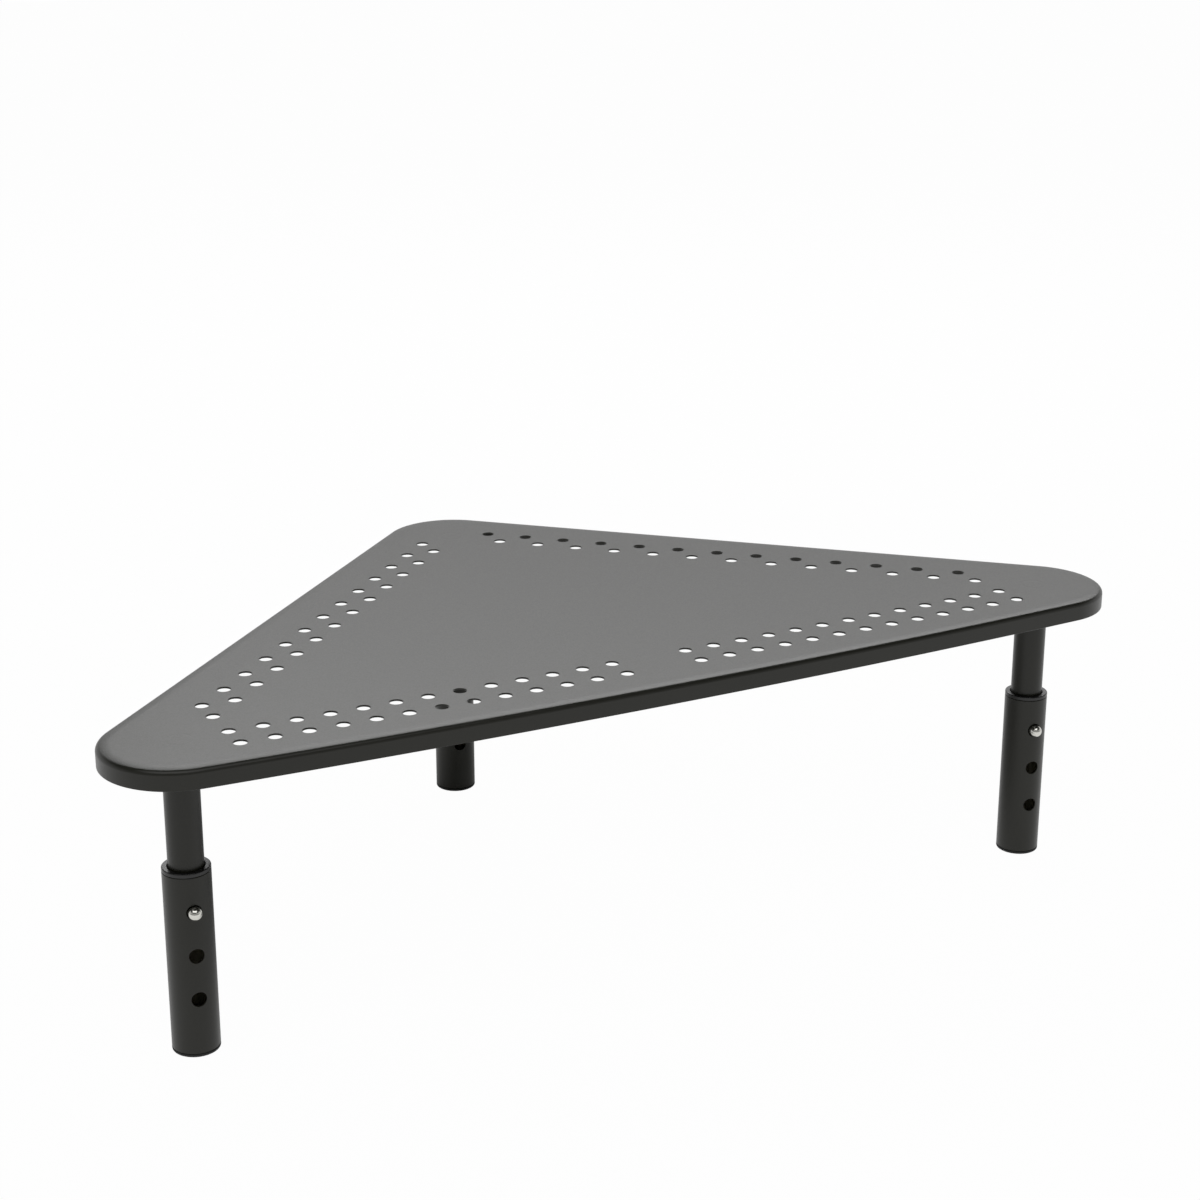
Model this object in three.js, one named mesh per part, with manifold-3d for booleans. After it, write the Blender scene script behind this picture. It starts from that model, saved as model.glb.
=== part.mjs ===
import * as THREE from 'three';
import { mergeVertices } from 'three/addons/utils/BufferGeometryUtils.js';
import Module from 'manifold-3d';

// Corner monitor riser: a pressed steel plate on three telescopic legs with snap buttons.
// Millimetres, +Z up. Standing at its greatest height, with the long front edge along X.

const wasm = await Module();
wasm.setup();

// Overall sizes
const riserHeight = 140;
const legSpan = 435;
const rearLegDepth = 207.5;
const stepHeight = 20;
const settingCount = 3;

// General clearances
const seatGap = 0.3;
const cutOverrun = 2;

// Pressed steel plate
const plate = {
  cornerRadius: 33.5,
  frontBow: 6.2,
  thickness: 0.8,
  skirtHeight: 9,
  bendRadius: 2,
  bendSteps: 3,
  cornerSteps: 14,
  frontSteps: 14,
};

// Vent holes: a double row along each of the three edges
const vents = {
  radius: 3,
  pitch: 14.8,
  firstFromLegX: 21.1,
  sideRowFromLegY: 32.6,
  frontRowFromLegY: 0.1,
  frontRowBow: 3.2,
  middleGap: 30,
  edgeWeb: 8,
  legWeb: 14,
  sides: 10,
};

// Telescopic leg
const outerTube = { radius: 10.3, wall: 1.2, rimAboveButton: 15.4 };
const innerTube = { radius: 7.6, wall: 1.2, endBelowButton: 13 };
const button = {
  height: 67,
  radius: 2.95,
  domeRise: 4,
  domeSteps: 5,
  rivetRadius: 1.1,
  rivetHeadRadius: 1.8,
  rivetHeadThickness: 0.6,
};
const spring = {
  width: 5,
  thickness: 0.5,
  frontReach: 4.2,
  backReach: 5.3,
  endBelowButton: 7,
  bendAboveButton: 6.5,
  topAboveButton: 21,
  bendRadius: 2.1,
  bendSteps: 6,
};
const upperGuide = { length: 9, flangeThickness: 1.8, edgeChamfer: 0.4 };
const lowerGuide = { length: 6, lip: 1.4 };
const foot = { padHeight: 1.5, edgeRadius: 1, edgeSteps: 3, plugTop: 10, plugWall: 2.2, floor: 2 };
const stud = { bossRadius: 5, bossHeight: 11, radius: 3.9, length: 14 };
const plug = { length: 18, wall: 1.9 };

const tubeSides = 32;
const smallSides = 20;
const holeSides = 16;

// Each leg screws home where its thread tightens, so each faces a little off the front
const legs = [
  { side: 'left', x: -legSpan / 2, y: 0, turnDegrees: -4.5 },
  { side: 'right', x: legSpan / 2, y: 0, turnDegrees: -8.5 },
  { side: 'rear', x: 0, y: rearLegDepth, turnDegrees: -9 },
];

const steelPaint = new THREE.MeshStandardMaterial({ color: 0x4b4b4c, roughness: 0.55, metalness: 0.15 });
const legPaint = new THREE.MeshStandardMaterial({ color: 0x353431, roughness: 0.5, metalness: 0.15 });
const chrome = new THREE.MeshStandardMaterial({ color: 0xd9dadb, roughness: 0.08, metalness: 1 });
const springSteel = new THREE.MeshStandardMaterial({ color: 0x8d9196, roughness: 0.3, metalness: 1 });
const zincSteel = new THREE.MeshStandardMaterial({ color: 0xa9abaa, roughness: 0.35, metalness: 1 });
const nylon = new THREE.MeshStandardMaterial({ color: 0x1a1a1a, roughness: 0.5, metalness: 0 });
const rubber = new THREE.MeshStandardMaterial({ color: 0x111111, roughness: 0.75, metalness: 0 });

// A faceted shape as a solid that can be joined and cut
function toSolid(geometry) {
  const bare = geometry.clone();
  bare.deleteAttribute('normal');
  bare.deleteAttribute('uv');
  const merged = mergeVertices(bare);
  const index = Array.from(merged.index.array);
  const kept = [];
  for (let i = 0; i < index.length; i += 3) {
    const [a, b, c] = index.slice(i, i + 3);
    if (a !== b && b !== c && c !== a) kept.push(a, b, c);
  }
  const mesh = new wasm.Mesh({
    numProp: 3,
    vertProperties: new Float32Array(merged.attributes.position.array),
    triVerts: new Uint32Array(kept),
  });
  return new wasm.Manifold(mesh);
}

function toGeometry(solid) {
  const mesh = solid.getMesh();
  const geometry = new THREE.BufferGeometry();
  geometry.setAttribute('position', new THREE.BufferAttribute(mesh.vertProperties, 3));
  geometry.setIndex(new THREE.BufferAttribute(mesh.triVerts, 1));
  geometry.computeVertexNormals();
  return geometry;
}

// A body turned about Z from [radius, height] points
function turned(points, sides) {
  const profile = points.map(([radius, height]) => new THREE.Vector2(radius, height));
  return new THREE.LatheGeometry(profile, sides).rotateX(Math.PI / 2);
}

// A tube wall between two radii and two heights
function ring(inner, outer, bottom, top) {
  return turned([[inner, bottom], [outer, bottom], [outer, top], [inner, top], [inner, bottom]], tubeSides);
}

// A drill along -Y, from the tube's axis out through its front wall
function frontDrill(radius, height, reach) {
  const drill = new THREE.CylinderGeometry(radius, radius, reach, holeSides);
  return drill.translate(0, -reach / 2, height);
}

function arcPoints(centreX, centreY, radius, from, to, steps) {
  const points = [];
  for (let i = 0; i <= steps; i += 1) {
    const angle = from + ((to - from) * i) / steps;
    points.push(new THREE.Vector2(centreX + radius * Math.cos(angle), centreY + radius * Math.sin(angle)));
  }
  return points;
}

// The plate's outline moved inwards: an arc round each leg, straight back edges and a bowed front
const halfSpan = legSpan / 2;
const bowRadius = halfSpan ** 2 / (2 * plate.frontBow) + plate.frontBow / 2;
const bowCentreY = bowRadius - plate.frontBow;
const bowHalfAngle = Math.asin(halfSpan / bowRadius);
const backEdgeAngle = Math.atan2(halfSpan, rearLegDepth);
const quarterTurn = Math.PI / 2;

function plateOutline(inset) {
  const radius = plate.cornerRadius - inset;
  const frontRadius = bowRadius + radius;
  const frontStart = -quarterTurn - bowHalfAngle;
  const frontEnd = -quarterTurn + bowHalfAngle;
  const front = arcPoints(0, bowCentreY, frontRadius, frontStart, frontEnd, plate.frontSteps);
  const right = arcPoints(halfSpan, 0, radius, frontEnd, backEdgeAngle, plate.cornerSteps);
  const rear = arcPoints(0, rearLegDepth, radius, backEdgeAngle, Math.PI - backEdgeAngle, plate.cornerSteps);
  const leftEnd = frontStart + 2 * Math.PI;
  const left = arcPoints(-halfSpan, 0, radius, Math.PI - backEdgeAngle, leftEnd, plate.cornerSteps);
  return [...front.slice(1), ...right.slice(1), ...rear, ...left];
}

// A blank of the plate's outline with its top edge rounded by the bend
function plateBlank(inset, top, bend) {
  const depth = plate.skirtHeight;
  const geometry = new THREE.ExtrudeGeometry(new THREE.Shape(plateOutline(inset + bend)), {
    depth,
    bevelSize: bend,
    bevelThickness: bend,
    bevelSegments: plate.bendSteps,
  });
  return toSolid(geometry.translate(0, 0, top - bend - depth));
}

// How far a point lies inside the plate's outer edge
function edgeDistance(x, y) {
  const fromFront = bowRadius + plate.cornerRadius - Math.hypot(x, y - bowCentreY);
  const along = Math.sin(backEdgeAngle) * y + Math.cos(backEdgeAngle) * Math.abs(x);
  const fromBack = Math.sin(backEdgeAngle) * rearLegDepth + plate.cornerRadius - along;
  return Math.min(fromFront, fromBack);
}

// The side rows run along the back edges, and the front rows bow a little less than the front edge
function ventPlaces() {
  const rowStep = vents.pitch * rearLegDepth / halfSpan;
  const startX = halfSpan - vents.firstFromLegX;
  const clear = vents.radius + vents.edgeWeb;
  const columns = Math.floor((startX - vents.middleGap / 2) / vents.pitch) + 1;
  const places = [];
  for (let column = 0; column < columns; column += 1) {
    const x = startX - column * vents.pitch;
    const frontY = vents.frontRowFromLegY - vents.frontRowBow * (1 - (x / halfSpan) ** 2);
    const sideY = vents.sideRowFromLegY + column * rowStep;
    const rows = [frontY, sideY].flatMap((y) => [y, y - rowStep]);
    rows.forEach((y) => places.push([x, y], [-x, y]));
  }
  const legClear = vents.radius + vents.legWeb;
  return places.filter(([x, y]) => edgeDistance(x, y) > clear
    && legs.every((leg) => Math.hypot(x - leg.x, y - leg.y) > legClear));
}

function topPlate() {
  const inner = plate.thickness;
  let solid = plateBlank(0, riserHeight, plate.bendRadius);
  solid = solid.subtract(plateBlank(inner, riserHeight - inner, plate.bendRadius - inner));
  const skirtBottom = riserHeight - plate.skirtHeight;
  const below = plate.bendRadius + cutOverrun;
  const width = legSpan + 4 * plate.cornerRadius;
  const depth = rearLegDepth + 4 * plate.cornerRadius;
  const trim = new THREE.BoxGeometry(width, depth, below).translate(0, rearLegDepth / 2, skirtBottom - below / 2);
  solid = solid.subtract(toSolid(trim));
  const punchLength = plate.thickness + 2 * cutOverrun;
  const punchHeight = riserHeight - plate.thickness / 2;
  for (const [x, y] of ventPlaces()) {
    const punch = new THREE.CylinderGeometry(vents.radius, vents.radius, punchLength, vents.sides);
    solid = solid.subtract(toSolid(punch.rotateX(quarterTurn).translate(x, y, punchHeight)));
  }
  return toGeometry(solid);
}

// Heights that the leg's pieces share
const plateUnderside = riserHeight - plate.thickness;
const bossTop = plateUnderside - seatGap;
const bossBottom = bossTop - stud.bossHeight;
const innerTubeTop = bossBottom - seatGap;
const innerTubeBottom = button.height - innerTube.endBelowButton;
const outerTubeTop = button.height + outerTube.rimAboveButton;
const innerBore = innerTube.radius - innerTube.wall;
const outerBore = outerTube.radius - outerTube.wall;
const outerTubeBottom = foot.padHeight + seatGap;
const buttonHole = button.radius + seatGap;
const buttonTip = outerTube.radius + button.domeRise;

// A round boss welded under the plate, with the stud that the leg screws on to
function weldStud() {
  return turned([
    [0, bossBottom - stud.length],
    [stud.radius, bossBottom - stud.length],
    [stud.radius, bossBottom],
    [stud.bossRadius, bossBottom],
    [stud.bossRadius, bossTop],
    [0, bossTop],
  ], smallSides);
}

// The threaded insert pressed into the top of the inner tube
function threadedPlug() {
  const outer = innerBore - seatGap;
  return ring(outer - plug.wall, outer, innerTubeTop - plug.length, innerTubeTop);
}

function innerTubeWall() {
  const tube = toSolid(ring(innerBore, innerTube.radius, innerTubeBottom, innerTubeTop));
  return toGeometry(tube.subtract(toSolid(frontDrill(buttonHole, button.height, innerTube.radius + cutOverrun))));
}

function outerTubeWall() {
  let tube = toSolid(ring(outerBore, outerTube.radius, outerTubeBottom, outerTubeTop));
  for (let i = 0; i < settingCount; i += 1) {
    const height = button.height - i * stepHeight;
    tube = tube.subtract(toSolid(frontDrill(buttonHole, height, outerTube.radius + cutOverrun)));
  }
  return toGeometry(tube);
}

// The nylon bush in the mouth of the outer tube: a sleeve inside it and a flange on its rim
function upperGuideBush() {
  const bore = innerTube.radius + seatGap;
  const sleeve = outerBore - seatGap;
  const sleeveEnd = outerTubeTop - upperGuide.length;
  const seat = outerTubeTop + seatGap;
  const top = seat + upperGuide.flangeThickness;
  return turned([
    [bore, sleeveEnd],
    [sleeve, sleeveEnd],
    [sleeve, seat],
    [outerTube.radius, seat],
    [outerTube.radius, top - upperGuide.edgeChamfer],
    [outerTube.radius - upperGuide.edgeChamfer, top],
    [bore, top],
    [bore, sleeveEnd],
  ], tubeSides);
}

// The nylon cap on the inner tube's end: a sleeve outside it and a lip under it
function lowerGuideCap() {
  const lipTop = innerTubeBottom - seatGap;
  const sleeve = innerTube.radius + seatGap;
  const outer = outerBore - seatGap;
  return turned([
    [innerBore, lipTop - lowerGuide.lip],
    [outer, lipTop - lowerGuide.lip],
    [outer, innerTubeBottom + lowerGuide.length],
    [sleeve, innerTubeBottom + lowerGuide.length],
    [sleeve, lipTop],
    [innerBore, lipTop],
    [innerBore, lipTop - lowerGuide.lip],
  ], tubeSides);
}

// A bent strip of spring steel, open at the bottom like a hairpin, bored for the button's rivet
function buttonSpring() {
  const { frontReach, backReach, bendRadius, thickness, width } = spring;
  const endHeight = button.height - spring.endBelowButton;
  const bendMiddle = (frontReach - backReach) / 2;
  const bendCentreZ = button.height + spring.topAboveButton - bendRadius;
  const line = [new THREE.Vector2(frontReach, endHeight)];
  line.push(new THREE.Vector2(frontReach, button.height + spring.bendAboveButton));
  line.push(...arcPoints(bendMiddle, bendCentreZ, bendRadius, 0, Math.PI, spring.bendSteps));
  line.push(new THREE.Vector2(-backReach, endHeight));
  const offset = line.map((point, i) => {
    const before = line[Math.max(i - 1, 0)];
    const after = line[Math.min(i + 1, line.length - 1)];
    const along = after.clone().sub(before).normalize();
    return new THREE.Vector2(-along.y, along.x).multiplyScalar(thickness / 2);
  });
  const outerSide = line.map((point, i) => point.clone().sub(offset[i]));
  const innerSide = line.map((point, i) => point.clone().add(offset[i])).reverse();
  const strip = new THREE.ExtrudeGeometry(new THREE.Shape([...outerSide, ...innerSide]), {
    depth: width,
    bevelEnabled: false,
  });
  // The strip's plane is radius and height, so it is stood up with its front towards -Y
  const stood = toSolid(strip.translate(0, 0, -width / 2).rotateX(quarterTurn).rotateZ(-quarterTurn));
  const boreRadius = button.rivetRadius + seatGap;
  const boreLength = frontReach + cutOverrun;
  return toGeometry(stood.subtract(toSolid(frontDrill(boreRadius, button.height, boreLength))));
}

// The chrome button: a dome on a short pin, riveted through the spring
function snapButton() {
  const pinStart = spring.frontReach + spring.thickness / 2 + seatGap;
  const headFront = spring.frontReach - spring.thickness / 2 - seatGap;
  const headBack = headFront - button.rivetHeadThickness;
  const domeStart = buttonTip - button.radius;
  const points = [
    [0, headBack],
    [button.rivetHeadRadius, headBack],
    [button.rivetHeadRadius, headFront],
    [button.rivetRadius, headFront],
    [button.rivetRadius, pinStart],
    [button.radius, pinStart],
  ];
  for (let i = 0; i < button.domeSteps; i += 1) {
    const angle = (quarterTurn * i) / button.domeSteps;
    points.push([button.radius * Math.cos(angle), domeStart + button.radius * Math.sin(angle)]);
  }
  points.push([0, buttonTip]);
  return turned(points, smallSides).rotateX(quarterTurn).translate(0, 0, button.height);
}

// The rubber foot: a rounded pad under the tube and a hollow plug inside it
function rubberFoot() {
  const plugRadius = outerBore - seatGap;
  const points = [[0, 0]];
  for (let i = 0; i <= foot.edgeSteps; i += 1) {
    const angle = (quarterTurn * i) / foot.edgeSteps;
    const radius = outerTube.radius - foot.edgeRadius + foot.edgeRadius * Math.sin(angle);
    points.push([radius, foot.edgeRadius - foot.edgeRadius * Math.cos(angle)]);
  }
  points.push(
    [outerTube.radius, foot.padHeight],
    [plugRadius, foot.padHeight],
    [plugRadius, foot.plugTop],
    [plugRadius - foot.plugWall, foot.plugTop],
    [plugRadius - foot.plugWall, foot.floor],
    [0, foot.floor],
  );
  return turned(points, tubeSides);
}

function piece(name, geometry, material) {
  const mesh = new THREE.Mesh(geometry, material);
  mesh.name = name;
  return mesh;
}

function makeLeg({ side, x, y, turnDegrees }) {
  const leg = new THREE.Group();
  leg.add(
    piece(`weld_stud_${side}`, weldStud(), zincSteel),
    piece(`threaded_plug_${side}`, threadedPlug(), zincSteel),
    piece(`inner_tube_${side}`, innerTubeWall(), legPaint),
    piece(`lower_guide_${side}`, lowerGuideCap(), nylon),
    piece(`button_spring_${side}`, buttonSpring(), springSteel),
    piece(`snap_button_${side}`, snapButton(), chrome),
    piece(`outer_tube_${side}`, outerTubeWall(), legPaint),
    piece(`upper_guide_${side}`, upperGuideBush(), nylon),
    piece(`rubber_foot_${side}`, rubberFoot(), rubber),
  );
  leg.position.set(x, y, 0);
  leg.rotation.z = THREE.MathUtils.degToRad(turnDegrees);
  return leg;
}

const riser = new THREE.Group();
riser.add(piece('top_plate', topPlate(), steelPaint));
legs.forEach((leg) => riser.add(makeLeg(leg)));

// The origin is on the floor, under the middle of the plate's depth
const frontEdge = -plate.frontBow - plate.cornerRadius;
const backEdge = rearLegDepth + plate.cornerRadius;
riser.position.y = -(frontEdge + backEdge) / 2;

export default riser;
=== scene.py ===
import math

import bmesh
import bpy
import numpy as np
from mathutils import Matrix, Vector
from mathutils.geometry import delaunay_2d_cdt


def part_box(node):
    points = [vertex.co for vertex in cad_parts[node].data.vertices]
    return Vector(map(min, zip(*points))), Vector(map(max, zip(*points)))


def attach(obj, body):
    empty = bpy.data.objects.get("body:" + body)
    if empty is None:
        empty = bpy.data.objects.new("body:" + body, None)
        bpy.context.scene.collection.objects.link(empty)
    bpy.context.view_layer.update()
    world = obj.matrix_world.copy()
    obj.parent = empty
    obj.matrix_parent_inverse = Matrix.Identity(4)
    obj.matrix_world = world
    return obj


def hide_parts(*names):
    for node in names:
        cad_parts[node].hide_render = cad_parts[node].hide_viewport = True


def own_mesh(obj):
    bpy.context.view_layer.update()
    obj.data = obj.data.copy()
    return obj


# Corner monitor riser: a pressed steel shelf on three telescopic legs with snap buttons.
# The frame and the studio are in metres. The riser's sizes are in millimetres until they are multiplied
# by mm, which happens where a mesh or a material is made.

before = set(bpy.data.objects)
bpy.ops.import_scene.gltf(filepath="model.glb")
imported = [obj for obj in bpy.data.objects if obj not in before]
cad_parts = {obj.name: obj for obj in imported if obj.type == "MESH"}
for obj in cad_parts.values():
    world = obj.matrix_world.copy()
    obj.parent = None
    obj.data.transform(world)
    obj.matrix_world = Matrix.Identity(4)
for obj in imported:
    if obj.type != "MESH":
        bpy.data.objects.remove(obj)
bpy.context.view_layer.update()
mm = 0.001
quarterTurn = math.pi / 2
fullTurn = 2 * math.pi
print("frame loaded, nodes:", len(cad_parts))


# Places read from the frame, in millimetres

# A node's lowest and highest corners at rest
def boxMm(node):
    low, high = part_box(node)
    return np.array(low) / mm, np.array(high) / mm


legNames = ("left", "right", "rear")
legTurn = {"left": -4.5, "right": -8.5, "rear": -9.0}  # degrees that each leg faces off the front
legPlace = {name: sum(boxMm("rubber_foot_" + name))[:2] / 2 for name in legNames}
shelfLow, shelfHigh = boxMm("top_plate")
shelfTop = shelfHigh[2]
halfSpan = (legPlace["right"][0] - legPlace["left"][0]) / 2
frontLegY = legPlace["left"][1]
rearDepth = legPlace["rear"][1] - frontLegY


# Small tools for surfaces

sameWithin = 0.0001  # points of a flat sheet that are this near, in millimetres, count as one
mergeWithin = 0.002  # the same for the points of a whole piece, so that its surfaces join


# Angles in equal steps round a full turn
def roundTurn(steps):
    return np.arange(steps) * fullTurn / steps


# Quads between neighbouring rows and columns of a grid of points; the last column joins the first
def gridQuads(rows, columns):
    row, column = np.meshgrid(np.arange(rows - 1), np.arange(columns), indexing="ij")
    right = (column + 1) % columns
    corners = [row * columns + column, row * columns + right]
    corners += [(row + 1) * columns + right, (row + 1) * columns + column]
    return np.stack(corners, axis=-1).reshape(-1, 4)


# Rounds the corners of a polygon: each becomes the arc of its own radius that touches both its sides.
# An open line keeps its two end points as they are
def roundedLine(corners, radii, steps, closed=True):
    corners = np.array(corners, float)
    before = np.roll(corners, 1, axis=0) - corners
    after = np.roll(corners, -1, axis=0) - corners
    before /= np.linalg.norm(before, axis=1)[:, None]
    after /= np.linalg.norm(after, axis=1)[:, None]
    half = np.arccos(np.clip((before * after).sum(axis=1), -1, 1)) / 2
    radii = np.array(radii, float)
    reach = (radii / np.tan(half))[:, None]
    middle = corners + (before + after) / (2 * np.cos(half) * np.sin(half))[:, None] * radii[:, None]
    start = corners + before * reach - middle
    end = corners + after * reach - middle
    turn = (math.pi - 2 * half)[:, None, None]
    share = np.linspace(0, 1, steps + 1)[None, :, None]
    arcs = np.sin((1 - share) * turn) * start[:, None] + np.sin(share * turn) * end[:, None]
    arcs = middle[:, None] + arcs / np.sin(turn)
    if closed:
        line = arcs.reshape(-1, 2)
        return np.vstack([line, line[:1]])
    return np.vstack([corners[:1], arcs[1:-1].reshape(-1, 2), corners[-1:]])


# Carries a profile of radius and height round the upright axis; angle 0 looks along -Y. Rows with a ridge
# are screw thread: radius + ridge * |2 * fraction(height / pitch - angle / full turn) - 1|
def turnedSurface(profile, columns, ridge=0, pitch=1):
    angle = roundTurn(columns)
    height = np.broadcast_to(profile[:, 1, None], (len(profile), columns))
    helix = (height / pitch - angle / fullTurn) % 1
    radius = profile[:, 0, None] + np.reshape(ridge, (-1, 1)) * np.abs(2 * helix - 1)
    points = np.stack([radius * np.sin(angle), -radius * np.cos(angle), height], axis=-1)
    return points.reshape(-1, 3), gridQuads(len(profile), columns)


# Circles of points round several centres
def circles(centres, radius, steps):
    angle = roundTurn(steps)
    ring = radius * np.stack([np.cos(angle), np.sin(angle)], axis=1)
    return list(np.array(centres)[:, None] + ring)


# Carries one profile of radius and height round each of several upright axes
def roundCentres(centres, profile, steps):
    rings = np.array([circles(centres, radius, steps) for radius in profile[:, 0]])
    heights = np.broadcast_to(profile[:, 1][:, None, None, None], rings.shape[:3] + (1,))
    points = np.concatenate([rings, heights], axis=-1).transpose(1, 0, 2, 3).reshape(-1, 3)
    starts = np.arange(len(centres)) * len(profile) * steps
    quads = gridQuads(len(profile), steps)[None] + starts[:, None, None]
    return points, quads.reshape(-1, 4)


# A flat sheet at one height: triangles fill the outline, and those with all three corners on one loop lie
# inside that loop and are left out
def flatSheet(outline, loops, height):
    rings = [outline] + loops
    sizes = [len(ring) for ring in rings]
    points = np.concatenate(rings)
    edges = [start + np.stack([np.arange(size), np.roll(np.arange(size), -1)], axis=1)
             for start, size in zip(np.cumsum([0] + sizes), sizes)]
    insideEdges = 1  # the kind of result that has no triangle outside the outline
    result = delaunay_2d_cdt(points.tolist(), np.concatenate(edges).tolist(), [], insideEdges, sameWithin)
    inputOf = np.array([ids[0] for ids in result[3]])
    triangles = inputOf[np.array(result[2])]
    ringOf = np.repeat(np.arange(len(rings)), sizes)[triangles]
    inLoop = (ringOf[:, 0] > 0) & (ringOf == ringOf[:, :1]).all(axis=1)
    return np.column_stack([points, np.full(len(points), height)]), triangles[~inLoop]


# Turns points about the upright axis, anticlockwise as seen from above
def spun(points, turn):
    cos, sin = math.cos(turn), math.sin(turn)
    return points @ np.array([[cos, sin, 0], [-sin, cos, 0], [0, 0, 1]])


# Turns and moves a leg's surfaces from its own axis to its place under the shelf; a third value of a
# surface, where it has one, is the number of its finish
def atLeg(surfaces, name):
    turn = math.radians(legTurn[name])
    shift = np.append(legPlace[name], 0)
    return [(spun(points, turn) + shift, *rest) for points, *rest in surfaces]


# Joins surfaces into one closed mesh: doubles are merged, poles close, and faces are turned outwards
def makePiece(name, surfaces, finishes, body, node):
    starts = np.cumsum([0] + [len(surface[0]) for surface in surfaces])
    points = np.concatenate([surface[0] for surface in surfaces]) * mm
    faces, numbers = [], []
    for (_, surfaceFaces, *number), start in zip(surfaces, starts):
        faces += (surfaceFaces + start).tolist()
        numbers += (number or [0]) * len(surfaceFaces)
    mesh = bpy.data.meshes.new(name)
    mesh.from_pydata(points.tolist(), [], faces)
    mesh.polygons.foreach_set("material_index", numbers)
    shell = bmesh.new()
    shell.from_mesh(mesh)
    bmesh.ops.remove_doubles(shell, verts=shell.verts, dist=mergeWithin * mm)
    bmesh.ops.recalc_face_normals(shell, faces=shell.faces)
    openEdges = sum(len(edge.link_faces) != 2 for edge in shell.edges)
    shell.to_mesh(mesh)
    shell.free()
    mesh.shade_smooth()
    for finish in finishes:
        mesh.materials.append(finish)
    piece = bpy.data.objects.new(name, mesh)
    bpy.context.scene.collection.objects.link(piece)
    piece.modifiers.new("flat faces keep their normals", "WEIGHTED_NORMAL")
    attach(piece, body)
    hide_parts(node)
    print("made", name, "with", len(mesh.polygons), "faces, open edges:", openEdges)
    return piece


# Materials

noiseLow, noiseHigh = 0.3, 0.7  # noise seldom goes past these


# A colour written as sRGB hex, turned to the linear values that the shaders take
def linear(hexColour):
    parts = [int(hexColour[i:i + 2], 16) / 255 for i in (1, 3, 5)]
    return tuple(c / 12.92 if c <= 0.04045 else ((c + 0.055) / 1.055) ** 2.4 for c in parts) + (1,)


# Adds one node; settings are its properties, inputs are socket values or the sockets linked to them.
# Sockets that share a name go by number: a Mix node's colours are inputs 6 and 7, and its colour output is 2
def addNode(tree, kind, settings, inputs):
    node = tree.nodes.new(kind)
    for key, value in settings.items():
        setattr(node, key, value)
    for key, value in inputs.items():
        if isinstance(value, bpy.types.NodeSocket):
            tree.links.new(value, node.inputs[key])
        else:
            node.inputs[key].default_value = value
    return node


# An empty material with its tree and the place on the piece that its patterns follow
def startMaterial(name):
    material = bpy.data.materials.new(name)
    material.use_nodes = True
    tree = material.node_tree
    tree.nodes.clear()
    place = addNode(tree, "ShaderNodeTexCoord", {}, {}).outputs["Object"]
    return material, tree, place


# What the finishes share: tint mixes the two colours, and grain varies the roughness and stands up as a
# fine bump, on a coarser one where under gives it. Gloss holds the shader's plain values
def finishMaterial(tree, finish, tint, grain, gloss, under):
    colour = addNode(tree, "ShaderNodeMix", {"data_type": "RGBA"}, {
        "Factor": tint, 6: linear(finish["dark"]), 7: linear(finish["light"])})
    rough = addNode(tree, "ShaderNodeMapRange", {}, {
        "Value": grain, "From Min": noiseLow, "From Max": noiseHigh,
        "To Min": finish["rough"] - finish["spread"], "To Max": finish["rough"] + finish["spread"]})
    bump = addNode(tree, "ShaderNodeBump", {}, {
        "Strength": 1, "Distance": finish["grainHeightMm"] * mm, "Height": grain, **under})
    shader = addNode(tree, "ShaderNodeBsdfPrincipled", {}, {
        "Base Color": colour.outputs[2], "Roughness": rough.outputs["Result"],
        "Normal": bump.outputs["Normal"], **gloss})
    addNode(tree, "ShaderNodeOutputMaterial", {}, {"Surface": shader.outputs["BSDF"]})


# Satin black powder coat, sprayed as dry powder and fused in an oven on pressed and drawn steel.
# To the eye: near-black, grey only by its sheen, with a soft orange-peel ripple and a fine grain.
powderCoat = {
    "dark": "#191910",
    "light": "#1d1d14",
    "ior": 1.45,
    "rough": 0.34,
    "spread": 0.04,
    "peelMm": 2.2,
    "peelHeightMm": 0.009,
    "grainMm": 0.6,  # the real grain is about 0.1 mm, drawn coarser so that it shows
    "grainHeightMm": 0.003,
    "cloudMm": 70,
}


def makePowderCoat(name):
    coat = powderCoat
    material, tree, place = startMaterial(name)
    cloud = addNode(tree, "ShaderNodeTexNoise", {}, {
        "Vector": place, "Scale": 1 / (coat["cloudMm"] * mm), "Detail": 3})
    peel = addNode(tree, "ShaderNodeTexNoise", {}, {
        "Vector": place, "Scale": 1 / (coat["peelMm"] * mm), "Detail": 1})
    grain = addNode(tree, "ShaderNodeTexNoise", {}, {
        "Vector": place, "Scale": 1 / (coat["grainMm"] * mm), "Detail": 2})
    ripple = addNode(tree, "ShaderNodeBump", {}, {
        "Strength": 1, "Distance": coat["peelHeightMm"] * mm, "Height": peel.outputs["Fac"]})
    finishMaterial(tree, coat, cloud.outputs["Fac"], grain.outputs["Fac"],
                   {"IOR": coat["ior"]}, {"Normal": ripple.outputs["Normal"]})
    return material


# Bright metal, told apart by colour, gloss and fine marks. To the eye: chrome is a mirror with hairlines,
# zinc is bluish and cloudy, spring steel has rolling lines. A mark's size is given along X, Y and Z.
metals = {
    "polishedChromePlate": {"light": "#dddcd6", "dark": "#cbcac3", "rough": 0.05, "spread": 0.02,
                            "markMm": (0.5, 0.5, 4), "grainHeightMm": 0.0006},
    "zincPlatedSteel": {"light": "#c3c7c9", "dark": "#a2a7ab", "rough": 0.32, "spread": 0.08,
                        "markMm": (1.5, 1.5, 1.5), "grainHeightMm": 0.004},
    "rolledSpringSteel": {"light": "#a3a5a8", "dark": "#7d8084", "rough": 0.28, "spread": 0.08,
                          "markMm": (0.3, 0.3, 9), "grainHeightMm": 0.002},
}


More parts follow.
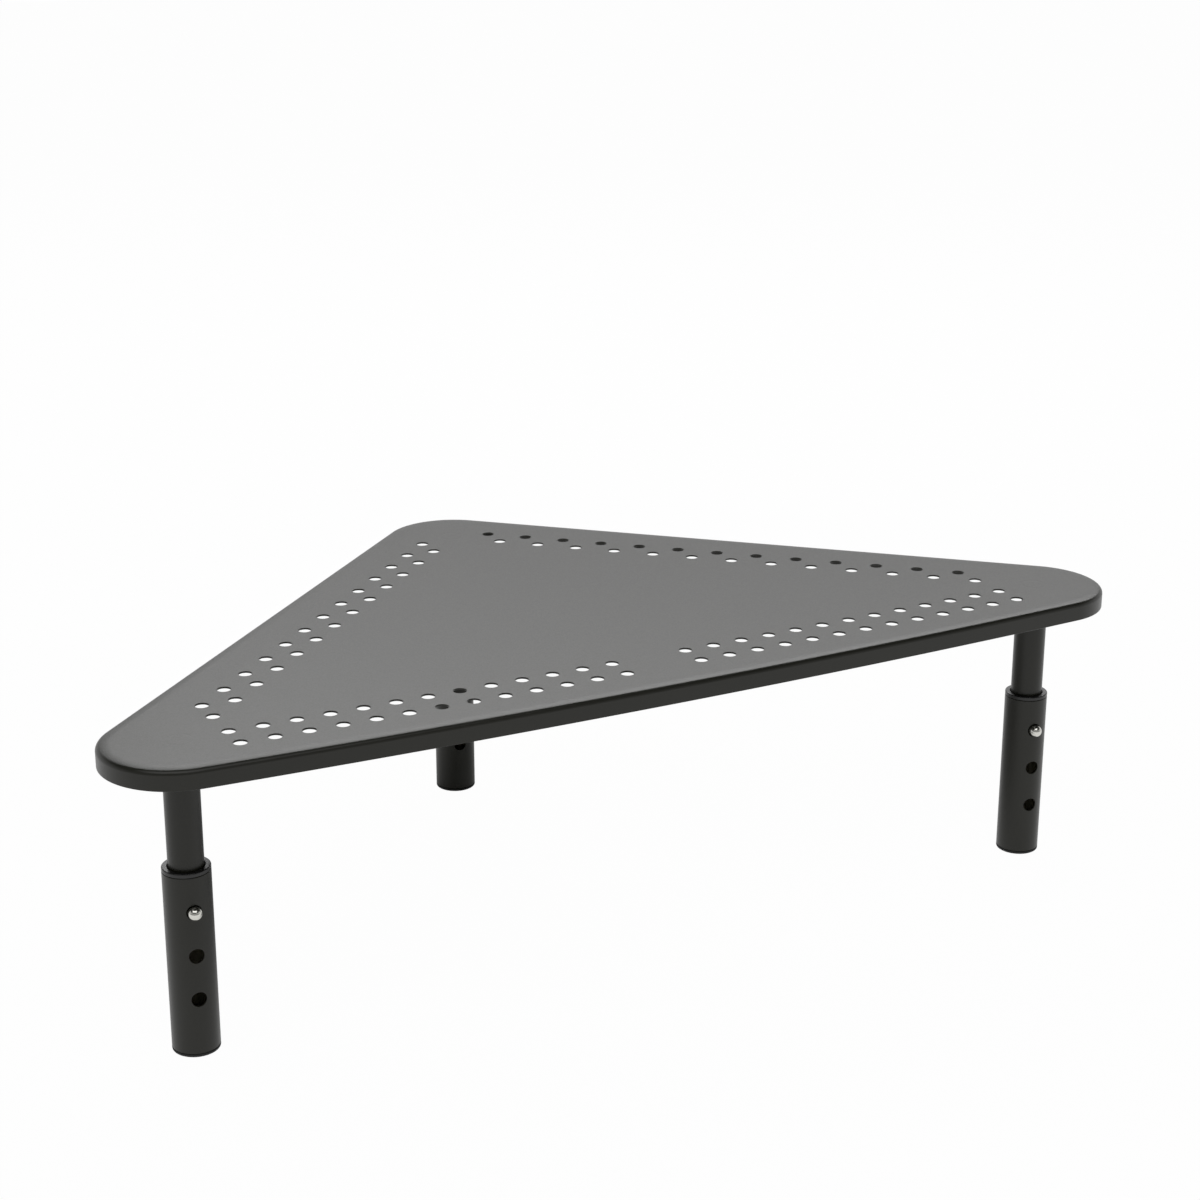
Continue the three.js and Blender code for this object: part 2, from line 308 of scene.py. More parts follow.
def makeMetal(name):
    metal = metals[name]
    material, tree, place = startMaterial(name)
    stretch = [1 / (size * mm) for size in metal["markMm"]]
    scaled = addNode(tree, "ShaderNodeMapping", {}, {"Vector": place, "Scale": stretch})
    marks = addNode(tree, "ShaderNodeTexNoise", {}, {
        "Vector": scaled.outputs["Vector"], "Scale": 1, "Detail": 3}).outputs["Fac"]
    finishMaterial(tree, metal, marks, marks, {"Metallic": 1}, {})
    return material


# Finishes with one even grain. To the eye: moulded nylon is a satin black and moulded rubber a dull one,
# both with the texture of their spark-eroded moulds, and a tube's inside is dusty grey-brown, because mill
# steel has only the film of coat there that drifted in.
grained = {
    "mouldedBlackNylon": {"dark": "#101010", "light": "#191918", "ior": 1.53, "rough": 0.3, "spread": 0.05,
                          "grainMm": 0.5, "grainHeightMm": 0.006},
    "mouldedBlackRubber": {"dark": "#0a0a0a", "light": "#131312", "ior": 1.52, "rough": 0.7, "spread": 0.08,
                           "grainMm": 0.7, "grainHeightMm": 0.012},
    "driftedCoatOnMillSteel": {"dark": "#8f8c78", "light": "#afab96", "ior": 1.5, "rough": 0.65,
                               "spread": 0.1, "grainMm": 1.1, "grainHeightMm": 0.01},
}


def makeGrained(name):
    finish = grained[name]
    material, tree, place = startMaterial(name)
    grain = addNode(tree, "ShaderNodeTexNoise", {}, {
        "Vector": place, "Scale": 1 / (finish["grainMm"] * mm), "Detail": 3}).outputs["Fac"]
    finishMaterial(tree, finish, grain, grain, {"IOR": finish["ior"]}, {})
    return material


coatedSteel = makePowderCoat("satinBlackPowderCoat")
chromePlate = makeMetal("polishedChromePlate")
zincPlate = makeMetal("zincPlatedSteel")
springSteel = makeMetal("rolledSpringSteel")
nylon = makeGrained("mouldedBlackNylon")
rubber = makeGrained("mouldedBlackRubber")
tubeInside = makeGrained("driftedCoatOnMillSteel")
print("materials made")


# The shelf: one pressed sheet with a folded rim, punched vents and faint weld rings over the legs
shelf = {
    "cornerRadius": shelfHigh[0] - halfSpan,
    "frontBow": (shelfHigh[1] - shelfLow[1]) - rearDepth - 2 * (shelfHigh[0] - halfSpan),
    "thickness": 0.8,
    "shoulderRadius": 32,  # the pressed sheet dips a little before its fold
    "shoulderDegrees": 8,
    "foldRadius": 2.1,
    "sheared": 0.36,  # rounding of the rim's sheared lower edge, filled out by the coat
    "shoulderSteps": 6,
    "foldSteps": 10,
    "shearedSteps": 4,
    "cornerSteps": 44,
    "rearSteps": 30,
    "frontSteps": 40,
}
vent = {
    "radius": 3,
    "pitch": 14.8,
    "firstFromLegX": 21.1,
    "sideRowFromLegY": 32.6,
    "frontRowFromLegY": 0.1,
    "frontRowBow": 3.2,
    "middleGap": 30,
    "edgeWeb": 8,  # least steel between a vent and the shelf's edge
    "legWeb": 14,  # the same between a vent and a leg's axis
    "rollOver": 0.22,  # the punch draws the top edge in
    "exitEdge": 0.1,
    "rollSteps": 4,
    "exitSteps": 2,
    "steps": 28,
}
weldRing = {"radius": 5.7, "width": 0.7, "depth": 0.022, "reach": 8.5, "rings": 26, "steps": 56}

underside = shelfTop - shelf["thickness"]
bowRadius = halfSpan ** 2 / (2 * shelf["frontBow"]) + shelf["frontBow"] / 2
bowCentreY = bowRadius - shelf["frontBow"]
bowHalfAngle = math.asin(halfSpan / bowRadius)
backEdgeAngle = math.atan2(halfSpan, rearDepth)


# The outline as points and outward directions, arc after arc: the bowed front, the right leg's corner, the
# rear one and the left one. Straight back edges join the corners, and an arc that runs on into the next
# leaves their shared point to it
def shelfOutline():
    corner = shelf["cornerRadius"]
    frontStart = -quarterTurn - bowHalfAngle
    frontEnd = -quarterTurn + bowHalfAngle
    rearEnd = math.pi - backEdgeAngle
    arcs = [
        (0, bowCentreY, bowRadius + corner, frontStart, frontEnd, shelf["frontSteps"], True),
        (halfSpan, 0, corner, frontEnd, backEdgeAngle, shelf["cornerSteps"], False),
        (0, rearDepth, corner, backEdgeAngle, rearEnd, shelf["rearSteps"], False),
        (-halfSpan, 0, corner, rearEnd, frontStart + fullTurn, shelf["cornerSteps"], True),
    ]
    points, directions = [], []
    for x, y, radius, start, end, steps, runsOn in arcs:
        angle = np.linspace(start, end, steps + 1)
        if runsOn:
            angle = angle[:-1]
        direction = np.stack([np.cos(angle), np.sin(angle)], axis=1)
        points.append(np.array([x, y + frontLegY]) + radius * direction)
        directions.append(direction)
    return np.concatenate(points), np.concatenate(directions)


# How far points lie inside the shelf's edge: the lesser of the distances to the bowed front and to the
# straight line of the nearer back edge. Here y starts at the front legs
def edgeDistance(x, y):
    fromFront = bowRadius + shelf["cornerRadius"] - np.hypot(x, y - bowCentreY)
    along = math.sin(backEdgeAngle) * y + math.cos(backEdgeAngle) * np.abs(x)
    fromBack = math.sin(backEdgeAngle) * rearDepth + shelf["cornerRadius"] - along
    return np.minimum(fromFront, fromBack)


# Vent centres: double rows, the side ones along the straight back edges, y = start + column * rowStep,
# the front ones bowed as a parabola, y = start - bow * (1 - (x / halfSpan)^2), clear of edges and legs
def ventCentres():
    rowStep = vent["pitch"] * rearDepth / halfSpan
    startX = halfSpan - vent["firstFromLegX"]
    columns = int((startX - vent["middleGap"] / 2) / vent["pitch"]) + 1
    column = np.arange(columns)
    x = startX - column * vent["pitch"]
    front = vent["frontRowFromLegY"] - vent["frontRowBow"] * (1 - (x / halfSpan) ** 2)
    side = vent["sideRowFromLegY"] + column * rowStep
    rows = np.stack([front, front - rowStep, side, side - rowStep])
    x, y = np.broadcast_arrays(x, rows)
    x, y = np.concatenate([x.ravel(), -x.ravel()]), np.concatenate([y.ravel(), y.ravel()])
    keep = edgeDistance(x, y) > vent["radius"] + vent["edgeWeb"]
    for legX, legY in legPlace.values():
        keep &= np.hypot(x - legX, y + frontLegY - legY) > vent["radius"] + vent["legWeb"]
    return np.stack([x[keep], y[keep] + frontLegY], axis=1)


# A vent's wall as radius and height, in two quarter circles: the edge that the punch draws in at the top,
# radius + roll * (1 - sin t) and top - roll * (1 - cos t), and the slighter one where it leaves below
def ventProfile():
    radius, roll, leave = vent["radius"], vent["rollOver"], vent["exitEdge"]
    turn = np.linspace(0, quarterTurn, vent["rollSteps"] + 1)
    entry = np.stack([radius + roll * (1 - np.sin(turn)), shelfTop - roll * (1 - np.cos(turn))], axis=1)
    turn = np.linspace(0, quarterTurn, vent["exitSteps"] + 1)
    out = np.stack([radius + leave * (1 - np.cos(turn)), underside + leave * (1 - np.sin(turn))], axis=1)
    return np.vstack([entry, out])


# The shallow ring that a leg's welded stud leaves in the top, as radius and height: it is sunk by a bell,
# depth * exp(-((radius - ring) / width)^2), and meets the flat at its reach
def weldProfile():
    radius = np.linspace(0, weldRing["reach"], weldRing["rings"])
    sunk = weldRing["depth"] * np.exp(-((radius - weldRing["radius"]) / weldRing["width"]) ** 2)
    sunk[-1] = 0
    return np.stack([radius, shelfTop - sunk], axis=1)


# The bend from the flat to the skirt, as inset from the outline and height: a point at angle t lies at
# centre + (radius - offset) * (-sin t, cos t), first round the shoulder's centre, then the fold's
def bendLine(offset):
    shoulder, fold = shelf["shoulderRadius"], shelf["foldRadius"]
    meet = math.radians(shelf["shoulderDegrees"])
    inset = (shoulder - fold) * math.sin(meet) + fold
    turn = np.linspace(0, meet, shelf["shoulderSteps"] + 1)[:-1, None]
    centre = np.array([inset, shelfTop - shoulder])
    dip = centre + (shoulder - offset) * np.hstack([-np.sin(turn), np.cos(turn)])
    turn = np.linspace(meet, quarterTurn, shelf["foldSteps"] + 1)[:, None]
    centre = np.array([fold, shelfTop - shoulder + (shoulder - fold) * math.cos(meet)])
    return np.vstack([dip, centre + (fold - offset) * np.hstack([-np.sin(turn), np.cos(turn)])])


# The rim's whole section: down the outside of the bend, round the skirt's sheared edge and up the inside
def rimSection():
    thick, bottom = shelf["thickness"], shelfLow[2]
    corners = [(0, shelfTop), (0, bottom), (thick, bottom), (thick, shelfTop)]
    skirt = roundedLine(corners, [shelf["sheared"]] * 4, shelf["shearedSteps"], closed=False)
    return np.vstack([bendLine(0), skirt[1:-1], bendLine(thick)[::-1]])


# The section carried along the outline: outline - inset * outward direction, at the section's height
def rimSurface(section, outline, direction):
    ring = outline[None] - section[:, 0][:, None, None] * direction[None]
    height = np.broadcast_to(section[:, 1][:, None, None], ring.shape[:2] + (1,))
    return np.concatenate([ring, height], axis=-1).reshape(-1, 3), gridQuads(len(section), len(outline))


def makeShelf():
    outline, direction = shelfOutline()
    section = rimSection()
    flatEdge = outline - section[0, 0] * direction
    vents = ventCentres()
    marks = list(legPlace.values())
    entries = circles(vents, vent["radius"] + vent["rollOver"], vent["steps"])
    exits = circles(vents, vent["radius"] + vent["exitEdge"], vent["steps"])
    surfaces = [
        rimSurface(section, outline, direction),
        flatSheet(flatEdge, entries + circles(marks, weldRing["reach"], weldRing["steps"]), shelfTop),
        flatSheet(flatEdge, exits, underside),
        roundCentres(vents, ventProfile(), vent["steps"]),
        roundCentres(marks, weldProfile(), weldRing["steps"]),
    ]
    makePiece("pressedShelf", surfaces, [coatedSteel], "stand", "top_plate")


makeShelf()


# The two drilled tubes of a leg
tube = {
    "outerRadius": 10.3,  # of the lower tube
    "innerRadius": 7.6,  # of the upper tube
    "wall": 1.2,
    "holes": 3,
    "holeStep": 20,
    "holeRadius": 3.25,
    "holeEdge": 0.22,  # the drilled edge as the coat rounds it
    "innerEdge": 0.08,
    "endEdge": 0.3,
    "seam": 0.18,  # the dark line where two pieces meet
    "columns": 72,
    "windowColumns": 14,
    "windowHeight": 14,
    "webRings": 7,
    "webCrowding": 1.5,  # above 1 the rings crowd towards the hole
    "holeEdgeSteps": 4,
    "innerEdgeSteps": 2,
    "endSteps": 4,
}
lowerBore = tube["outerRadius"] - tube["wall"]

# Heights that the leg's pieces share, read from the frame, in millimetres
buttonHeight = sum(boxMm("snap_button_left"))[2] / 2
holeHeights = [buttonHeight - tube["holeStep"] * step for step in reversed(range(tube["holes"]))]
mouthTop = boxMm("upper_guide_left")[1][2]
upperTubeBottom = boxMm("inner_tube_left")[0][2]
upperTubeTop = boxMm("inner_tube_left")[1][2]


# Angles round a hole, from lower left, one for each point round the hole's window
def holeTurn():
    across = tube["windowColumns"]
    return -1.5 * quarterTurn + np.arange(4 * across) * quarterTurn / across


# One skin of a drilled tube, laid out as angle and height. Round each hole its grid leaves a four-sided
# window, which a web of rings fills: (1 - share) * hole's circle + share * window's outline
def drilledSkin(radius, heights, bottom, top, holeRadius):
    columns, across = tube["columns"], tube["windowColumns"]
    halfHeight = tube["windowHeight"] / 2
    halfAngle = across * math.pi / columns
    windows = [np.linspace(z - halfHeight, z + halfHeight, across + 1) for z in heights]
    levels = np.concatenate([[bottom]] + windows + [[top]])
    angle = (np.arange(columns) - across / 2) * fullTurn / columns
    grid = np.stack(np.broadcast_arrays(angle[None], levels[:, None]), axis=-1).reshape(-1, 2)
    quads = gridQuads(len(levels), columns)
    row, column = quads[:, 0] // columns, quads[:, 0] % columns
    inWindow = ((row - 1) % (across + 1) < across) & (column < across)
    plans = [(grid, quads[~inWindow])]
    side = np.linspace(-1, 1, across + 1)[:-1]
    end = np.ones(across)
    square = np.concatenate([np.stack([side, -end], 1), np.stack([end, side], 1),
                             np.stack([-side, end], 1), np.stack([-end, -side], 1)])
    turn = holeTurn()
    share = (np.linspace(0, 1, tube["webRings"]) ** tube["webCrowding"])[:, None, None]
    for z in heights:
        holeAngle = np.arcsin(holeRadius * np.cos(turn) / radius)
        circle = np.stack([holeAngle, holeRadius * np.sin(turn) + z], axis=1)
        window = np.stack([square[:, 0] * halfAngle, square[:, 1] * halfHeight + z], axis=1)
        web = (1 - share) * circle[None] + share * window[None]
        plans.append((web.reshape(-1, 2), gridQuads(len(share), len(turn))))
    surfaces = []
    for plan, faces in plans:
        angle, height = plan[:, 0], plan[:, 1]
        surfaces.append((np.stack([radius * np.sin(angle), -radius * np.cos(angle), height], axis=1), faces))
    return surfaces


# The wall of each drilled hole: rings that follow the rounded edge on the outer skin, then the one on the
# inner skin. A ring of radius r lies sqrt(skin^2 - (r * cos t)^2) in front of the tube's axis at angle t,
# less what the outer edge is rounded by there, or plus what the inner one is
def holeWalls(radius, bore, heights):
    turn = holeTurn()
    edge, innerEdge, drill = tube["holeEdge"], tube["innerEdge"], tube["holeRadius"]
    outerTurn = np.linspace(0, quarterTurn, tube["holeEdgeSteps"] + 1)[:, None]
    innerTurn = np.linspace(quarterTurn, 0, tube["innerEdgeSteps"] + 1)[:, None]
    outerRing = drill + edge * (1 - np.sin(outerTurn))
    innerRing = drill + innerEdge * (1 - np.sin(innerTurn))
    outerY = edge * (1 - np.cos(outerTurn)) - np.sqrt(radius ** 2 - (outerRing * np.cos(turn)) ** 2)
    innerY = -innerEdge * (1 - np.cos(innerTurn)) - np.sqrt(bore ** 2 - (innerRing * np.cos(turn)) ** 2)
    ring = np.vstack([outerRing, innerRing])
    y = np.vstack([outerY, innerY])
    walls = []
    for z in heights:
        points = np.stack([ring * np.cos(turn), y, ring * np.sin(turn) + z], axis=-1).reshape(-1, 3)
        walls.append((points, gridQuads(len(ring), len(turn))))
    return walls


# A drilled tube: an outer and an inner skin, the walls of its holes, and its two ends, which are the rounded
# wall section turned round the axis, with columns that meet the skins'
def drilledTube(radius, bottom, top, heights):
    bore = radius - tube["wall"]
    edge = tube["endEdge"]
    insideFinish = 1
    outer = drilledSkin(radius, heights, bottom + edge, top - edge, tube["holeRadius"] + tube["holeEdge"])
    inner = drilledSkin(bore, heights, bottom + edge, top - edge, tube["holeRadius"] + tube["innerEdge"])
    surfaces = outer + [(points, faces, insideFinish) for points, faces in inner]
    surfaces += holeWalls(radius, bore, heights)
    corners = [(radius, bottom), (radius, top), (bore, top), (bore, bottom)]
    section = roundedLine(corners, [edge] * 4, tube["endSteps"])
    perCorner = tube["endSteps"] + 1
    topEnd = section[perCorner:3 * perCorner]
    bottomEnd = np.vstack([section[3 * perCorner:-1], section[:perCorner]])
    halfWindow = tube["windowColumns"] * math.pi / tube["columns"]
    for end in (topEnd, bottomEnd):
        points, faces = turnedSurface(end, tube["columns"])
        surfaces.append((spun(points, -halfWindow), faces))
    return surfaces


# The nylon bush in the mouth of the lower tube
bush = {
    "flange": 1.8,
    "sleeve": 9,
    "clear": 0.3,  # round the upper tube
    "tight": 0.05,  # inside the lower tube
    "rounding": (0.25, 0.25, 0.05, 0.2, 0.5, 0.35),  # sleeve's end inside and out, seat, flange, rim, mouth
    "roundSteps": 5,
    "columns": 96,
}


# A turned profile: a thin flange on the tube's rim with a soft edge, and a sleeve inside
def bushSurfaces():
    bore = tube["innerRadius"] + bush["clear"]
    sleeve = lowerBore - bush["tight"]
    seat = mouthTop - bush["flange"]
    corners = [(bore, seat - bush["sleeve"]), (sleeve, seat - bush["sleeve"]), (sleeve, seat),
               (tube["outerRadius"], seat), (tube["outerRadius"], mouthTop), (bore, mouthTop)]
    return [turnedSurface(roundedLine(corners, bush["rounding"], bush["roundSteps"]), bush["columns"])]


# The rubber foot
foot = {
    "pad": 1.5,
    "plug": 10,
    "plugWall": 2.2,
    "floor": 2.2,
    "tight": 0.05,
    "edge": 0.9,  # rounding of the pad's lower edge
    "rounding": (0.2, 0.1, 0.5, 0.3, 0.5),  # pad's top, seat, plug's end outside and in, floor
    "roundSteps": 4,
    "grooves": 3,
    "grooveDepth": 0.5,
    "grooveSlope": 0.2,
    "grooveRounding": 0.1,
    "middleLand": 1.2,  # radius of the flat in the middle, where a groove is 1 wide
    "outerLand": 1.3,  # width of the outermost flat, on the same scale
    "columns": 96,
}


# A turned profile: a pad with a rounded edge and round grooves below, and a hollow plug up inside the tube
def footSurfaces():
    plugRadius = lowerBore - foot["tight"]
    hollow = plugRadius - foot["plugWall"]
    pad, depth, slope = foot["pad"], foot["grooveDepth"], foot["grooveSlope"]
    outer = tube["outerRadius"]
    widths = foot["middleLand"] + 2 * foot["grooves"] - 1 + foot["outerLand"]
    width = (outer - foot["edge"]) / widths
    corners = [(0, 0)]
    for groove in range(foot["grooves"]):
        start = width * (2 * groove + foot["middleLand"])
        end = start + width
        corners += [(start, 0), (start + slope, depth), (end - slope, depth), (end, 0)]
    corners += [(outer, 0), (outer, pad), (plugRadius, pad), (plugRadius, foot["plug"])]
    corners += [(hollow, foot["plug"]), (hollow, foot["floor"]), (0, foot["floor"])]
    radii = [0] + [foot["grooveRounding"]] * 4 * foot["grooves"] + [foot["edge"], *foot["rounding"], 0]
    return [turnedSurface(roundedLine(corners, radii, foot["roundSteps"], closed=False), foot["columns"])]


# The snap button, with places measured from the tube's axis
button = {
    "radius": 2.95,
    "barrelStart": 4.75,
    "rivet": 1.1,
    "headRadius": 1.8,
    "head": 0.6,
    "springFace": 3.65,
    "travel": 5.4,
    "rounding": (0.25, 0.05, 0.05, 0.1, 0.2),  # rivet head's two edges, rivet's two ends, barrel's edge
    "roundSteps": 4,
    "domeSteps": 14,
    "columns": 64,
}


# A turned profile laid on its side: a rivet with its head, a short barrel and a polished dome, whose point
# at angle t lies at radius * cos t, and radius * (1 - sin t) short of the tip
def buttonSurfaces():
    radius, rivet, headRadius = button["radius"], button["rivet"], button["headRadius"]
    face, barrel = button["springFace"], button["barrelStart"]
    headStart = face - button["head"]
    tip = legPlace["left"][1] - boxMm("snap_button_left")[0][1]
    tip = tip / math.cos(math.radians(legTurn["left"]))
    corners = [(0, headStart), (headRadius, headStart), (headRadius, face), (rivet, face), (rivet, barrel),
               (radius, barrel), (radius, tip - radius)]
    shank = roundedLine(corners, [0, *button["rounding"], 0], button["roundSteps"], closed=False)
    turn = np.linspace(0, quarterTurn, button["domeSteps"] + 1)
    dome = np.stack([radius * np.cos(turn), tip - radius * (1 - np.sin(turn))], axis=1)
    points, faces = turnedSurface(np.vstack([shank, dome[1:]]), button["columns"])
    laid = np.stack([points[:, 0], -points[:, 2], points[:, 1] + buttonHeight], axis=1)
    return [(laid, faces)]


# Fittings that hold the leg to the shelf: a boss with an M8 stud, and the insert that it screws into
fitting = {
    "pitch": 1.25,
    "threadDepth": 0.7,
    "threadClear": 0.3,  # between the stud's thread and the insert
    "chamfer": 0.5,
    "tipTaper": 0.3,
    "bossRadius": 5,
    "bossEdge": 0.4,
    "bossClear": 0.3,  # above the upper tube
    "neck": 0.8,  # plain length under the boss
    "threadEnd": 1,  # where the thread stops under the boss
    "weldReach": 0.7,
    "weldHeight": 1,
    "weldBite": 0.2,  # how far the bead goes into the boss
    "weldToe": 0.05,
    "weldClear": 0.02,  # under the shelf
    "weldRounding": (0.02, 0.3, 0.1, 0.02),
    "weldSteps": 5,
    "weldRipples": 23,
    "weldRipple": 0.012,  # share of the radius
    "columnsPerRipple": 4,
    "plugWall": 1.9,
    "plugBite": 0.3,
    "rowsPerPitch": 8,
    "columns": 40,
}
threadStep = fitting["pitch"] / fitting["rowsPerPitch"]
plugOuter = legPlace["left"][0] - boxMm("threaded_plug_left")[0][0]
plugBore = plugOuter - fitting["plugWall"]


# The boss and its stud, one turned profile whose thread has its own rows and runs out under the boss, and
# the rippled bead of weld round its top: radius * (1 + ripple * cos(ripples * angle))
def studSurfaces():
    low, high = boxMm("weld_stud_left")
    bottom, top = low[2], high[2]
    boss, edge = fitting["bossRadius"], fitting["bossEdge"]
    shoulder = upperTubeTop + fitting["bossClear"]
    core = plugBore - fitting["threadClear"] - fitting["threadDepth"]
    rows = np.arange(bottom + fitting["chamfer"], shoulder - fitting["threadEnd"], threadStep)
    tip = [(0, bottom), (core - fitting["tipTaper"], bottom)]
    thread = np.stack([np.full(len(rows), core), rows], axis=1)
    neck = [(core, shoulder - fitting["neck"]), (core, shoulder), (boss - edge, shoulder)]
    neck += [(boss, shoulder + edge), (boss, top), (0, top)]
    profile = np.vstack([tip, thread, neck])
    ridge = np.zeros(len(profile))
    runOut = np.clip((rows[-1] - rows) / fitting["pitch"], 0, 1)
    ridge[len(tip):len(tip) + len(rows)] = fitting["threadDepth"] * runOut
    weldTop = underside - fitting["weldClear"]
    weldLow = weldTop - fitting["weldHeight"]
    inside = boss - fitting["weldBite"]
    corners = [(inside, weldTop), (boss + fitting["weldReach"], weldTop),
               (boss + fitting["weldToe"], weldLow), (inside, weldLow)]
    section = roundedLine(corners, fitting["weldRounding"], fitting["weldSteps"])
    bead, faces = turnedSurface(section, fitting["columnsPerRipple"] * fitting["weldRipples"])
    ripple = 1 + fitting["weldRipple"] * np.cos(fitting["weldRipples"] * np.arctan2(bead[:, 0], bead[:, 1]))
    bead[:, :2] *= ripple[:, None]
    return [turnedSurface(profile, fitting["columns"], ridge, fitting["pitch"]), (bead, faces)]


# The insert pressed into the tube, one turned profile: straight outside with soft ends, threaded inside
def plugSurfaces():
    low, high = boxMm("threaded_plug_left")
    bottom, top, chamfer = low[2], high[2], fitting["chamfer"]
    rows = np.arange(top - chamfer, bottom + chamfer, -threadStep)
    thread = np.stack([np.full(len(rows), plugBore), rows], axis=1)
    outside = [(plugBore + chamfer, bottom), (plugOuter - chamfer, bottom), (plugOuter, bottom + chamfer),
               (plugOuter, top - chamfer), (plugOuter - chamfer, top), (plugBore + chamfer, top)]
    profile = np.vstack([outside, thread, outside[:1]])
    ridge = np.zeros(len(profile))
    ridge[len(outside):-1] = fitting["plugBite"]
    return [turnedSurface(profile, fitting["columns"], ridge, fitting["pitch"])]


# The nylon cap on the upper tube's hidden end
glide = {
    "lip": 1.4,
    "ribDepth": 0.3,
    "ribGap": 1.6,
    "tight": 0.1,  # round the upper tube
    # of the corners, from the bottom of the bore, up the outside and back down inside
    "rounding": (0.3, 0.5, 0.1, 0.1, 0.1, 0.1, 0.25, 0.15, 0.05, 0.2),
    "roundSteps": 5,
    "columns": 72,
}


# A turned profile: a lip under the tube, and a sleeve round it with a glide rib above and below its waist
def capSurfaces():
    low, high = boxMm("lower_guide_left")
    bottom, top = low[2], high[2]
    outer = legPlace["left"][0] - low[0]
    bore = tube["innerRadius"] - tube["wall"]
    sleeve = tube["innerRadius"] + glide["tight"]
    lipTop = bottom + glide["lip"]
    waist = outer - glide["ribDepth"]
    waistLow = (bottom + top) / 2 - glide["ribGap"]
    waistHigh = (bottom + top) / 2 + glide["ribGap"]
    corners = [(bore, bottom), (outer, bottom), (outer, waistLow), (waist, waistLow), (waist, waistHigh),
               (outer, waistHigh), (outer, top), (sleeve, top), (sleeve, lipTop), (bore, lipTop)]
    return [turnedSurface(roundedLine(corners, glide["rounding"], glide["roundSteps"]), glide["columns"])]


# The hairpin spring, cut flat as (across, along, through) and then bent along its line of reach and height
spring = {
    "width": 5,
    "thickness": 0.5,
    "soft": 0.08,  # bevel along its cut edges
    "endRadius": 1,
    "rivetHole": 1.4,
    "holeAlong": 7,
    "line": [(4.2, -7), (4.2, 6.5), (1.5, 21), (-2.7, 21), (-5.3, -7)],  # reach, height over the button
    "turns": [0, 6, 2.05, 2.05, 0],
    "turnSteps": 24,
    "samples": 400,  # of the line, evenly along it
    "step": 0.7,
    "endSteps": 4,
    "holeSteps": 24,
}


# The strip's edge in the flat, with even steps along its sides, and the directions into the strip from it
def stripOutline(length):
    half = spring["width"] / 2
    corners = [(-half, 0), (half, 0), (half, length), (-half, length)]
    ends = roundedLine(corners, [spring["endRadius"]] * 4, spring["endSteps"])[:-1]
    sides = [np.linspace(a, b, max(int(np.hypot(*(b - a)) / spring["step"]), 1), endpoint=False)
             for a, b in zip(ends, np.roll(ends, -1, axis=0))]
    outline = np.concatenate(sides)
    tangent = np.roll(outline, -1, axis=0) - np.roll(outline, 1, axis=0)
    inward = np.stack([-tangent[:, 1], tangent[:, 0]], axis=1) / np.linalg.norm(tangent, axis=1)[:, None]
    return outline, inward


# A point of the flat strip goes to line(along) + through * normal(along), and across stays across
def springSurfaces():
    line = roundedLine(spring["line"], spring["turns"], spring["turnSteps"], closed=False)
    run = np.append(0, np.cumsum(np.linalg.norm(np.diff(line, axis=0), axis=1)))
    along = np.linspace(0, run[-1], spring["samples"])
    line = np.stack([np.interp(along, run, line[:, 0]), np.interp(along, run, line[:, 1])], axis=1)
    slope = np.gradient(line, along, axis=0)
    outline, inward = stripOutline(run[-1])
    hole, steps = [(0, spring["holeAlong"])], spring["holeSteps"]
    soft, face = spring["soft"], spring["thickness"] / 2
    wall = [(soft, -face), (0, soft - face), (0, face - soft), (soft, face)]  # inset and through
    cut = [np.column_stack([outline + inset * inward, np.full(len(outline), through)])
           for inset, through in wall]
    bored = [np.column_stack([circles(hole, spring["rivetHole"] + inset, steps)[0], np.full(steps, through)])
             for inset, through in wall]
    flat = [(np.concatenate(cut), gridQuads(len(wall), len(outline))),
            (np.concatenate(bored), gridQuads(len(wall), steps))]
    for side in (0, -1):
        flat.append(flatSheet(cut[side][:, :2], [bored[side][:, :2]], wall[side][1]))
    surfaces = []
    for points, faces in flat:
        across, place, through = points.T
        reach = np.interp(place, along, line[:, 0]) - through * np.interp(place, along, slope[:, 1])
        height = np.interp(place, along, line[:, 1]) + through * np.interp(place, along, slope[:, 0])
        surfaces.append((np.stack([across, -reach, height + buttonHeight], axis=1), faces))
    return surfaces


# Gives a spring a mesh of its own
def closeSpring(piece):
    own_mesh(piece)


# Each leg's pieces: the node that a piece stands for, its finishes, its material slot and its surfaces
lowerTube = drilledTube(tube["outerRadius"], foot["pad"] + tube["seam"],
                        mouthTop - bush["flange"] - tube["seam"], holeHeights)
upperTube = drilledTube(tube["innerRadius"], upperTubeBottom, upperTubeTop, [buttonHeight])
legPieces = {
    "hairpinSpring": ("button_spring", [springSteel], "spring_steel", springSurfaces()),
    "weldedStud": ("weld_stud", [coatedSteel], "zinc_steel", studSurfaces()),
    "threadedInsert": ("threaded_plug", [zincPlate], "zinc_steel", plugSurfaces()),
    "glideCap": ("lower_guide", [nylon], "nylon", capSurfaces()),
    "lowerTube": ("outer_tube", [coatedSteel, tubeInside], "leg_paint", lowerTube),
    "upperTube": ("inner_tube", [coatedSteel, tubeInside], "leg_paint", upperTube),
    "mouthBush": ("upper_guide", [nylon], "nylon", bushSurfaces()),
    "rubberFoot": ("rubber_foot", [rubber], "rubber", footSurfaces()),
    "snapButton": ("snap_button", [chromePlate], "chrome", buttonSurfaces()),
}
